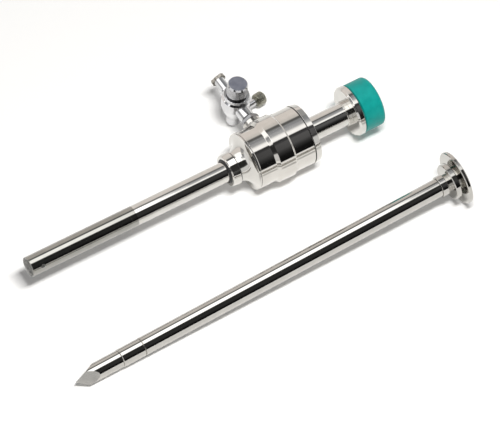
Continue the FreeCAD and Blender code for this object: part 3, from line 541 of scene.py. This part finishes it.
def tent_material():
    """The tent glows in the colours of its panels, with the cards in front of them."""
    material = bpy.data.materials.new("tent_panels")
    material.use_nodes = True
    tree = material.node_tree
    tree.nodes.remove(tree.nodes["Principled BSDF"])
    place = add(tree, "ShaderNodeTexCoord")
    parts = add(tree, "ShaderNodeSeparateXYZ")
    tree.links.new(place.outputs["Object"], parts.inputs["Vector"])
    angle = tent_angle(tree, parts)
    colour = tent_panels(tree, angle)
    for bright, along, round_it, fade in CARDS:
        first, last = (math.radians(degrees) for degrees in round_it)
        card = add(tree, "ShaderNodeMath", operation="MULTIPLY")
        tree.links.new(between(tree, parts.outputs["X"], *along, fade), card.inputs[0])
        tree.links.new(between(tree, angle, first, last, CARD_EDGE), card.inputs[1])
        mix = add(tree, "ShaderNodeMix", data_type="RGBA")
        tree.links.new(card.outputs[0], mix.inputs["Factor"])
        tree.links.new(colour, mix.inputs["A"])
        mix.inputs["B"].default_value = (bright, bright, bright, 1)
        colour = mix.outputs["Result"]
    glow = add(tree, "ShaderNodeEmission")
    tree.links.new(colour, glow.inputs["Color"])
    tree.links.new(glow.outputs[0], tree.nodes["Material Output"].inputs["Surface"])
    return material


def place_tent():
    """A long half-round tent of grey, white and black panels over the table, for the steel to reflect."""
    reach, half_length, steps = 1.6, 3.0, 72
    mesh = bpy.data.meshes.new("studio_tent")
    maker = bmesh.new()
    rows = []
    for step in range(steps + 1):
        angle = math.radians(-90 + 180 * step / steps)
        y, z = -reach * math.sin(angle), FLOOR_HEIGHT * MM + reach * math.cos(angle)
        rows.append([maker.verts.new((x, y, z)) for x in (-half_length, half_length)])
    for row, after in zip(rows, rows[1:]):
        maker.faces.new((row[0], row[1], after[1], after[0]))
    maker.to_mesh(mesh)
    maker.free()
    mesh.materials.append(tent_material())
    tent = bpy.data.objects.new("studio_tent", mesh)
    tent.visible_camera = False
    tent.visible_diffuse = False
    tent.visible_shadow = False
    bpy.context.scene.collection.objects.link(tent)


def place_lamp():
    """The main lamp hangs a little in front of the table's middle, so the shadows stay close to the pieces.

    Steel shows the tent's panels and not the lamp."""
    light = bpy.data.lights.new("soft_lamp", "AREA")
    light.shape = "RECTANGLE"
    light.size, light.size_y = 0.45, 0.18
    light.energy = 13.2
    lamp = bpy.data.objects.new("soft_lamp", light)
    lamp.location = (0.10, -0.37, 1.08)
    middle_of_the_pieces = Vector((0.1, -0.03, 0))
    aim = middle_of_the_pieces - lamp.location
    lamp.rotation_euler = aim.to_track_quat("-Z", "Y").to_euler()
    lamp.visible_glossy = False
    bpy.context.scene.collection.objects.link(lamp)


# Repeated details: knurling and the wound spring

def grown(name, pattern, sizes, place, finish):
    """Grows a pattern with named sizes and gives it as a plain mesh at its place."""
    tree = bpy.data.node_groups.new(name, "GeometryNodeTree")
    for size, value in sizes.items():
        kind = "NodeSocketInt" if isinstance(value, int) else "NodeSocketFloat"
        tree.interface.new_socket(size, in_out="INPUT", socket_type=kind)
    tree.interface.new_socket("Geometry", in_out="OUTPUT", socket_type="NodeSocketGeometry")
    shape = pattern(tree, add(tree, "NodeGroupInput"))
    realize = add(tree, "GeometryNodeRealizeInstances")
    paint = add(tree, "GeometryNodeSetMaterial")
    paint.inputs["Material"].default_value = finish
    tree.links.new(shape, realize.inputs["Geometry"])
    tree.links.new(realize.outputs["Geometry"], paint.inputs["Geometry"])
    tree.links.new(paint.outputs["Geometry"], add(tree, "NodeGroupOutput").inputs["Geometry"])
    piece = bpy.data.objects.new(name, bpy.data.meshes.new(name))
    bpy.context.scene.collection.objects.link(piece)
    grow = piece.modifiers.new("grow", "NODES")
    grow.node_group = tree
    for socket in tree.interface.items_tree:
        if socket.in_out == "INPUT":
            grow[socket.identifier] = sizes[socket.name]
    bpy.context.view_layer.update()
    mesh = bpy.data.meshes.new_from_object(piece.evaluated_get(bpy.context.evaluated_depsgraph_get()))
    piece.modifiers.remove(grow)
    mesh.transform(place)
    for face in mesh.polygons:
        face.use_smooth = True
    mesh.set_sharp_from_angle(angle=math.radians(50))
    piece.data = mesh
    return piece


def rib_ring(tree, entry):
    """A ring of straight half-round ribs, as knurling leaves them."""
    ring = add(tree, "GeometryNodeMeshCircle")
    tree.links.new(entry.outputs["Count"], ring.inputs["Vertices"])
    tree.links.new(entry.outputs["Ring Radius"], ring.inputs["Radius"])
    rib = add(tree, "GeometryNodeMeshCylinder")
    rib.inputs["Vertices"].default_value = 8
    tree.links.new(entry.outputs["Rib Radius"], rib.inputs["Radius"])
    tree.links.new(entry.outputs["Rib Length"], rib.inputs["Depth"])
    ribs = add(tree, "GeometryNodeInstanceOnPoints")
    tree.links.new(ring.outputs["Mesh"], ribs.inputs["Points"])
    tree.links.new(rib.outputs["Mesh"], ribs.inputs["Instance"])
    return ribs.outputs["Instances"]


def coil(tree, entry):
    """A wire wound round and up."""
    line = add(tree, "GeometryNodeCurveSpiral")
    line.inputs["Resolution"].default_value = 40
    tree.links.new(entry.outputs["Turns"], line.inputs["Rotations"])
    tree.links.new(entry.outputs["Coil Radius"], line.inputs["Start Radius"])
    tree.links.new(entry.outputs["Coil Radius"], line.inputs["End Radius"])
    tree.links.new(entry.outputs["Height"], line.inputs["Height"])
    wire = add(tree, "GeometryNodeCurvePrimitiveCircle")
    wire.inputs["Resolution"].default_value = 14
    tree.links.new(entry.outputs["Wire Radius"], wire.inputs["Radius"])
    sweep = add(tree, "GeometryNodeCurveToMesh")
    sweep.inputs["Fill Caps"].default_value = True
    tree.links.new(line.outputs["Curve"], sweep.inputs["Curve"])
    tree.links.new(wire.outputs["Curve"], sweep.inputs["Profile Curve"])
    return sweep.outputs["Mesh"]


# The share of a knurl's pitch that its ribs take up
RIB_SHARE = 0.62


def knurl(name, count, out, start, end, turn, origin, finish):
    """Ribs from start to end along a turned piece, with their crests at the radius out, in millimetres."""
    rib = math.pi * out / count * RIB_SHARE
    sizes = {"Count": count, "Ring Radius": (out - rib) * MM, "Rib Radius": rib * MM,
             "Rib Length": (end - start) * MM}
    middle = Matrix.Translation((0, 0, (start + end) / 2 * MM))
    place = Matrix.Translation(Vector(origin) * MM) @ turn @ middle
    return grown(name, rib_ring, sizes, place, finish)


# Trocar: tube, hub and valve housing, along the bore

def true_normals(mesh, place):
    """Shades a cut piece: round where a face turns straight away from the piece's axis, flat elsewhere."""
    straight, on_the_axis = 0.995, 1e-6
    inward = place.inverted()
    turn, turn_back = place.to_3x3(), place.to_3x3().inverted()
    normals = [None] * len(mesh.loops)
    for face in mesh.polygons:
        face.use_smooth = True
        facing = turn_back @ face.normal
        for loop in face.loop_indices:
            spot = inward @ mesh.vertices[mesh.loops[loop].vertex_index].co
            outward = Vector((spot.x, spot.y, 0))
            outward = outward.normalized() if outward.length > on_the_axis else facing
            side = facing.dot(outward)
            local = outward * math.copysign(1, side) if abs(side) > straight else facing
            normals[loop] = turn @ local
    mesh.normals_split_custom_set(normals)


def make_tube():
    """The thin tube. Its far half is ground, and the half next to the hub is polished."""
    polished_from = 64.0
    outline = [(0, 5.15, 0.02), (0, 5.35, 0.02), (0.15, 5.5, 0.02), (polished_from - 0.05, 5.5, "smooth"),
               (polished_from + 0.05, 5.5, "smooth"), (119.0, 5.5, 0.03), (119.0, 5.32, 0.02),
               (129.65, 5.32, 0.02), (129.65, 5.15, 0.02)]
    # The bore is painted pale: painted light inside the tube's mouth
    finishes = [(painted_light_bore, lambda along, out: out < 5.2),
                (ground_steel, lambda along, out: along < polished_from),
                (mirror_steel, lambda along, out: True)]
    tube = turned("cannula_tube_turned", outline, ALONG_X, finishes=finishes)
    drill_vent(tube)
    settle(tube, "housing", "polished_steel", "cannula_tube")


def drill_vent(tube):
    """The vent goes through both walls near the mouth, and its front end is 25 degrees above level."""
    lean = Matrix.Rotation(math.radians(-25), 4, "X")
    # The vent's walls take the bore's pale painted light
    drill = turned("vent_drill", [(-8, 0), (-8, 1.2, 0.01), (8, 1.2, 0.01), (8, 0)], lean @ ALONG_Y,
                   (6.2, 0, 0), segments=48, finish=painted_light_bore)
    cut = tube.modifiers.new("vent", "BOOLEAN")
    cut.object = drill
    cut.operation = "DIFFERENCE"
    cut.solver = "EXACT"
    cut.material_mode = "TRANSFER"
    bpy.context.view_layer.update()
    drilled = bpy.data.meshes.new_from_object(tube.evaluated_get(bpy.context.evaluated_depsgraph_get()))
    tube.modifiers.remove(cut)
    tube.data = drilled
    bpy.data.objects.remove(drill)
    true_normals(drilled, ALONG_X)


def make_tube_ring():
    """The O-ring in front of the hub."""
    middle, cord, station, steps = 6.095, 0.75, 119.95, 24
    section = []
    for step in range(steps):
        angle = math.pi - math.tau * step / steps
        section.append((station + cord * math.cos(angle), middle + cord * math.sin(angle), "smooth"))
    settle(turned("tube_ring_moulded", section, ALONG_X, finish=black_rubber),
           "housing", "black_rubber", "tube_ring")


def make_hub():
    """The tapered collar with its screwed spigot, and the black gasket behind it."""
    hub = [(119.8, 6.87), (119.8, 8.3), (120.3, 8.7), (124.5, 9.1), (124.5, 7.0), (130.5, 7.0), (130.5, 5.15),
           (129.7, 5.15), (129.7, 5.37), (120.7, 5.37), (120.7, 6.87)]
    settle(turned("cannula_hub_turned", hub, ALONG_X, finish=mirror_steel),
           "housing", "polished_steel", "cannula_hub")
    gasket = [(124.5, 7.05, 0.03), (124.5, 8.6, 0.12), (125.1, 8.6, 0.12), (125.1, 7.05, 0.03)]
    settle(turned("hub_gasket_moulded", gasket, ALONG_X, finish=black_rubber),
           "housing", "black_rubber", "hub_gasket")


def make_nose():
    """The flared front of the housing, with its funnel inside."""
    flare = bend((125.1, 8.25), (131.7, 15.9), 7.25, 22)
    outside = [(125.1, 7.05), (125.1, 8.25, 0.04), *flare, (131.7, 15.9, 0.12), (132.5, 15.9)]
    inside = [(132.5, 13.3), (138.7, 13.3), (138.7, 11.5), (131.15, 5.15, 0.3), (130.55, 5.15),
              (130.55, 7.05)]
    settle(turned("nose_cone_turned", outside + inside, ALONG_X, segments=192, finish=mirror_steel),
           "housing", "polished_steel", "nose_cone")


def make_barrel():
    """The valve housing, with its raised band and the land that the valve insert is clamped against."""
    outside = [(132.8, 13.35), (132.8, 15.75), (133.05, 16.0), (142.2, 16.0, 0.25), (144.1, 17.4, 0.3),
               (152.8, 17.4, 0.15), (153.9, 16.5, 0.1), (153.9, 16.35, 0.05), (165.05, 16.35), (165.3, 16.1)]
    inside = [(165.3, 13.35), (159.1, 13.35), (159.1, 12.8), (139.0, 12.8), (139.0, 13.35)]
    settle(turned("barrel_turned", outside + inside, ALONG_X, segments=192, finish=housing_steel),
           "housing", "polished_steel", "barrel")


def make_rear():
    """The end ring, the neck with its collar, and the flange with the plug for the seal cap."""
    cap = [(162.2, 11.5), (162.2, 13.3), (165.6, 13.3), (165.6, 16.6, 0.1), (169.0, 16.0, 0.2), (169.0, 6.4),
           (164.6, 6.4), (164.6, 11.5)]
    settle(turned("rear_cap_turned", cap, ALONG_X, segments=192, finish=mirror_steel),
           "housing", "polished_steel", "rear_cap")
    neck = [(162.2, 5.3), (162.2, 6.35), (191.4, 6.35, 0.15), (191.4, 6.95, 0.15), (194.0, 6.95),
            (194.0, 6.35), (196.4, 6.35), (196.4, 5.3)]
    settle(turned("inlet_neck_turned", neck, ALONG_X, finish=mirror_steel),
           "housing", "polished_steel", "inlet_neck")
    flange = [(194.0, 6.4), (194.0, 12.95, 0.3), (195.0, 13.8, 0.3), (197.4, 13.8), (197.9, 13.3),
              (197.9, 10.5), (204.0, 10.5), (204.0, 9.0), (197.4, 5.3, 0.3), (196.4, 5.3), (196.4, 6.4)]
    settle(turned("neck_flange_turned", flange, ALONG_X, segments=192, finish=mirror_steel),
           "housing", "polished_steel", "neck_flange")


def make_seal_cap():
    """The silicone cap: its outside, and inside it the lip and the pocket for the flange's plug."""
    outside = [(198.2, 10.65, 0.1), (198.2, 13.5, 0.7), (210.0, 13.5, 1.9), (210.0, 5.5, 0.5)]
    inside = [(208.8, 4.5, 0.3), (206.6, 4.5, 0.3), (204.3, 8.65, 0.2), (204.3, 10.65, 0.2)]
    settle(turned("seal_cap_moulded", outside + inside, ALONG_X, segments=160, finish=teal_silicone),
           "seal", "teal_silicone", "seal_cap")


# Stopcock

# Where the stem's axis crosses the plug's and the trocar's. Its stations are measured from the trocar's.
TAP = (148.0, 36.0, 0.0)
STEM = (148.0, 0.0, 0.0)

# The valve body leans to the rear, and the lever stands a little off the trocar's direction
TAP_LEAN = Matrix.Rotation(math.radians(5.4), 4, "Y")
TAP_TURN = TAP_LEAN @ Matrix.Rotation(math.radians(10.0), 4, "Z")

# How far out the hose stub ends and the hose end starts
LUER_START = 45.0


def make_boss_and_nut():
    """The socket in the band, and the six-sided nut on the stem, its chamfers painted near-black as shade in
    the gaps at its ends.
    """
    boss = [(14.45, 1.3), (14.45, 5.25), (19.65, 5.25), (19.9, 5.0), (19.9, 3.0), (15.25, 3.0), (15.25, 1.3)]
    settle(turned("stopcock_boss_turned", boss, ALONG_Y, STEM, finish=housing_steel),
           "housing", "polished_steel", "stopcock_boss")

    half_across_flats, bore_below = 4.6, 3.5

    def flats(angle, out, along):
        beside = angle % (math.pi / 3) - math.pi / 6
        return min(out, half_across_flats / math.cos(beside)) if out > bore_below else out

    nut = [(19.9, 3.0), (19.9, 4.85), (20.25, 5.31), (21.95, 5.31), (22.3, 4.85), (22.3, 3.0)]
    # The chamfers are painted near-black: painted shade in the gaps at the nut's two ends
    finishes = [(painted_gap_shade_steel, lambda along, out: not 20.2 < along < 22.0),
                (nut_steel, lambda along, out: True)]
    settle(turned("lock_nut_milled", nut, ALONG_Y, STEM, segments=96, finishes=finishes, shape=flats),
           "housing", "polished_steel", "lock_nut")


def make_valve_body():
    """The upright body with its knurled flange, the stem to the barrel and the stub for the hose end."""
    upright = [(-6.0, 3.65), (-6.0, 6.2), (-1.5, 7.6, 1.2), (3.9, 7.6, 0.15), (4.9, 6.6, 0.03),
               (4.9, 6.8, 0.05), (6.5, 6.8, 0.2), (6.5, 3.95)]
    settle(turned("stopcock_body_turned", upright, TAP_LEAN, TAP, finish=chrome),
           "housing", "polished_steel", "stopcock_body")
    settle(knurl("valve_flange_knurl", 64, 6.9, 5.1, 6.3, TAP_LEAN, TAP, chrome),
           "housing", "polished_steel")
    stem = [(15.3, 1.3), (15.3, 2.95), (22.3, 2.95), (22.3, 3.25), (23.0, 3.25), (23.0, 4.0), (31.9, 4.0),
            (31.9, 1.3)]
    # The stem is painted near-black up to its shoulder: painted shade in the gap beside the nut
    finishes = [(painted_gap_shade_steel, lambda along, out: along < 23.05), (chrome, lambda along, out: True)]
    settle(turned("stopcock_stem_turned", stem, ALONG_Y, STEM, finishes=finishes),
           "housing", "polished_steel")
    stub = [(40.1, 1.3), (40.1, 3.7), (LUER_START, 3.7, 0.15), (LUER_START, 2.45), (LUER_START - 1.65, 2.45),
            (LUER_START - 1.65, 1.3)]
    settle(turned("hose_stub_turned", stub, ALONG_Y, STEM, finish=chrome), "housing", "polished_steel")


def make_hose_end():
    """The hose end, with the two lugs left where its flange is cut away on both sides."""
    lug_lean = math.radians(62)
    round_under_the_lugs, half_lug_width = 2.8, 2.5

    def lugs(angle, out, along):
        if out < round_under_the_lugs + 0.01:
            return out
        across = max(abs(math.sin(angle - lug_lean)), 0.01)
        return min(out, max(round_under_the_lugs, half_lug_width / across))

    outside = [(LUER_START - 1.6, 1.3), (LUER_START - 1.6, 2.4), (LUER_START, 2.4), (LUER_START, 2.8),
               (52.15, 2.8, 0.1), (52.4, 3.9, 0.1), (54.0, 3.9)]
    inside = [(54.0, 2.15), (52.0, 2.15, 0.02), (46.5, 1.95, 0.02), (46.5, 1.3)]
    finishes = [(lug_steel, lambda along, out: along > 52.2 and out > 2.5),
                (chrome, lambda along, out: True)]
    settle(turned("luer_connector_turned", outside + inside, ALONG_Y, STEM, finishes=finishes, shape=lugs),
           "housing", "polished_steel", "luer_connector")


def make_tap():
    """The plug with the hub below and the post above, the lever in the hub, and the knurled knob."""
    plug = [(-15.6, 0), (-15.6, 3.8, 2.4), (-9.6, 4.4, 0.8), (-6.3, 5.9, 0.1), (-6.3, 3.6), (-6.0, 3.6, 0.02),
            (6.45, 3.9), (6.45, 2.0), (14.05, 2.0), (14.05, 0)]
    settle(turned("tap_plug_turned", plug, TAP_TURN, TAP, finish=chrome), "tap", "polished_steel", "tap_plug")
    lever = Vector(TAP) + TAP_LEAN @ Vector((0, 0, -10.5))
    rod = [(1.45, 0), (1.45, 1.85), (17.5, 1.85), (17.5, 0)]
    settle(turned("tap_lever_turned", rod, TAP_TURN @ ALONG_X, lever, segments=64, finish=chrome),
           "tap", "polished_steel", "tap_lever")
    knob = [(17.55, 0), (17.55, 1.9), (14.6, 1.9), (14.6, 2.45), (15.4, 2.45, 0.2), (15.4, 3.5, 0.9),
            (20.4, 3.5, 0.9), (20.4, 0)]
    settle(turned("lever_knob_turned", knob, TAP_TURN @ ALONG_X, lever, segments=96, finish=knob_steel),
           "tap", "dark_steel", "lever_knob")
    settle(knurl("lever_knob_knurl", 26, 3.6, 16.1, 19.7, TAP_TURN @ ALONG_X, lever, knob_steel),
           "tap", "dark_steel")


def make_spring_cap():
    """The black washer, the knurled cap over it with its satin top, and the spring inside."""
    washer = [(6.5, 2.2, 0.05), (6.5, 5.15, 0.25), (8.1, 5.15, 0.25), (8.1, 2.2, 0.05)]
    settle(turned("tap_washer_moulded", washer, TAP_LEAN, TAP, finish=black_rubber),
           "housing", "black_rubber", "tap_washer")
    inside = [(14.1, 0), (14.1, 2.05), (13.15, 2.05), (13.15, 4.4), (8.15, 4.4), (8.15, 5.2, 0.03),
              (7.6, 5.2, 0.03)]
    outside = [(7.6, 5.5, 0.08), (8.6, 5.5, 0.05), (8.75, 5.4, 0.05), (13.35, 5.4, 0.05), (13.5, 5.5, 0.05),
               (14.0, 5.5, 0.05), (14.95, 4.9, 0.05), (14.95, 0)]
    finishes = [(satin_steel, lambda along, out: along > 14.93 and out < 4.88),
                (cap_side_steel, lambda along, out: along < 13.98), (chrome, lambda along, out: True)]
    settle(turned("spring_cap_turned", inside + outside, TAP_TURN, TAP, finishes=finishes),
           "tap", "satin_cap", "spring_cap")
    settle(knurl("spring_cap_knurl", 54, 5.5, 8.8, 13.3, TAP_TURN, TAP, cap_side_steel),
           "tap", "polished_steel")
    wire = {"Turns": 3.0, "Coil Radius": 3.35 * MM, "Height": 4.25 * MM, "Wire Radius": 0.35 * MM}
    foot = Matrix.Translation((0, 0, 8.5 * MM))
    place = Matrix.Translation(Vector(TAP) * MM) @ TAP_TURN @ foot
    settle(grown("tap_spring_wound", coil, wire, place, inner_steel), "tap", "polished_steel", "tap_spring")


# Obturator, which lies on its point's heel and on the rim of its palm disc

TIP_RADIUS, PALM_RADIUS = 4.8, 14.8
HEEL_STATION, PALM_STATION = 13.0, 233.0
OBTURATOR_LEAN = math.asin((PALM_RADIUS - TIP_RADIUS) / (PALM_STATION - HEEL_STATION))
HEEL_HEIGHT = TIP_RADIUS * math.cos(OBTURATOR_LEAN) + FLOOR_HEIGHT
FACET_SLOPE = math.atan(6.0 / 15.6)
OBTURATOR_PLACE = (-12.5, -67.9, HEEL_HEIGHT - HEEL_STATION * math.sin(OBTURATOR_LEAN))
OBTURATOR_TURN = (Matrix.Rotation(math.radians(0.9), 4, "Z") @ Matrix.Rotation(-OBTURATOR_LEAN, 4, "Y")
                  @ ALONG_X)


def make_point():
    """The three-sided point: a round bar with three ground facets that meet at its end."""
    place = Matrix.Translation(Vector(OBTURATOR_PLACE) * MM) @ OBTURATOR_TURN
    bar = [(0, 0), (0, TIP_RADIUS, 0.01), (26.75, TIP_RADIUS, 0.01), (27.0, 4.6, 0.01), (27.0, 3.55),
           (33.0, 3.55), (33.0, 0)]
    point = turned("obturator_tip_ground", bar, OBTURATOR_TURN, OBTURATOR_PLACE, finish=obturator_steel)
    maker = bmesh.new()
    maker.from_mesh(point.data)
    for degrees in (-90, 30, 150):
        about = math.radians(degrees)
        sideways = Vector((math.cos(about), math.sin(about), 0)) * math.cos(FACET_SLOPE)
        local = sideways - Vector((0, 0, math.sin(FACET_SLOPE)))
        everything = maker.verts[:] + maker.edges[:] + maker.faces[:]
        cut = bmesh.ops.bisect_plane(maker, geom=everything, plane_co=place @ Vector((0, 0, 0)),
                                     plane_no=place.to_3x3() @ local, clear_outer=True)
        edges = [item for item in cut["geom_cut"] if isinstance(item, bmesh.types.BMEdge)]
        bmesh.ops.holes_fill(maker, edges=edges)
    bmesh.ops.recalc_face_normals(maker, faces=maker.faces)
    maker.to_mesh(point.data)
    maker.free()
    true_normals(point.data, place)
    settle(point, "obturator", "polished_steel", "obturator_tip")


def make_obturator():
    """The point, the shaft with its ring mark, the collar and the two discs of the head."""
    make_point()
    shaft = [(27.05, 3.6), (27.05, 4.75, 0.02), (27.3, 5.0, 0.02), (40.0, 5.0, 0.02), (40.0, 4.8, 0.02),
             (40.6, 4.8, 0.02), (40.6, 5.0, 0.02), (222.7, 5.0), (222.7, 4.8), (231.45, 4.8), (231.45, 3.6)]
    collar = [(222.8, 4.85), (222.8, 5.7, 0.2), (226.4, 5.7, 0.2), (226.4, 4.85)]
    small = [(228.4, 4.85), (228.4, 9.6), (228.8, 10.0), (231.1, 10.0), (231.5, 9.6), (231.5, 4.85)]
    palm = [(228.5, 0), (228.5, 3.55), (231.5, 3.55), (231.5, 6.5), (PALM_STATION, 6.5),
            (PALM_STATION, 14.4), (233.4, PALM_RADIUS), (234.8, PALM_RADIUS), (235.2, 14.4),
            (236.6, 11.0, 0.4), (236.6, 0)]
    finishes = [(lug_steel, lambda along, out: 39.9 < along < 40.7 and out < 4.9),
                (obturator_steel, lambda along, out: True)]
    for node, outline, segments in (("obturator_shaft", shaft, 144), ("head_collar", collar, 128),
                                    ("small_disc", small, 160), ("palm_disc", palm, 192)):
        settle(turned(node + "_turned", outline, OBTURATOR_TURN, OBTURATOR_PLACE, segments=segments,
                      finishes=finishes), "obturator", "polished_steel", node)


def dress_inner_nodes():
    """The pieces inside the housing keep the solids' own meshes and get the finish of the real ones."""
    finishes = {"valve_seat": inner_steel, "flap_plate": inner_steel, "flap_pin": inner_steel,
                "seat_seal": clear_silicone, "seat_magnet": magnet_nickel,
                "nose_gasket": black_rubber, "rear_gasket": black_rubber}
    for name, finish in finishes.items():
        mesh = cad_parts[name].data
        mesh.materials.clear()
        mesh.materials.append(finish)


place_camera()
place_floor()
build_world()
place_tent()
place_lamp()
make_tube()
make_tube_ring()
make_hub()
make_nose()
make_barrel()
make_rear()
make_seal_cap()
make_boss_and_nut()
make_valve_body()
make_hose_end()
make_tap()
make_spring_cap()
make_obturator()
dress_inner_nodes()

bpy.context.scene.view_settings.view_transform = "Standard"
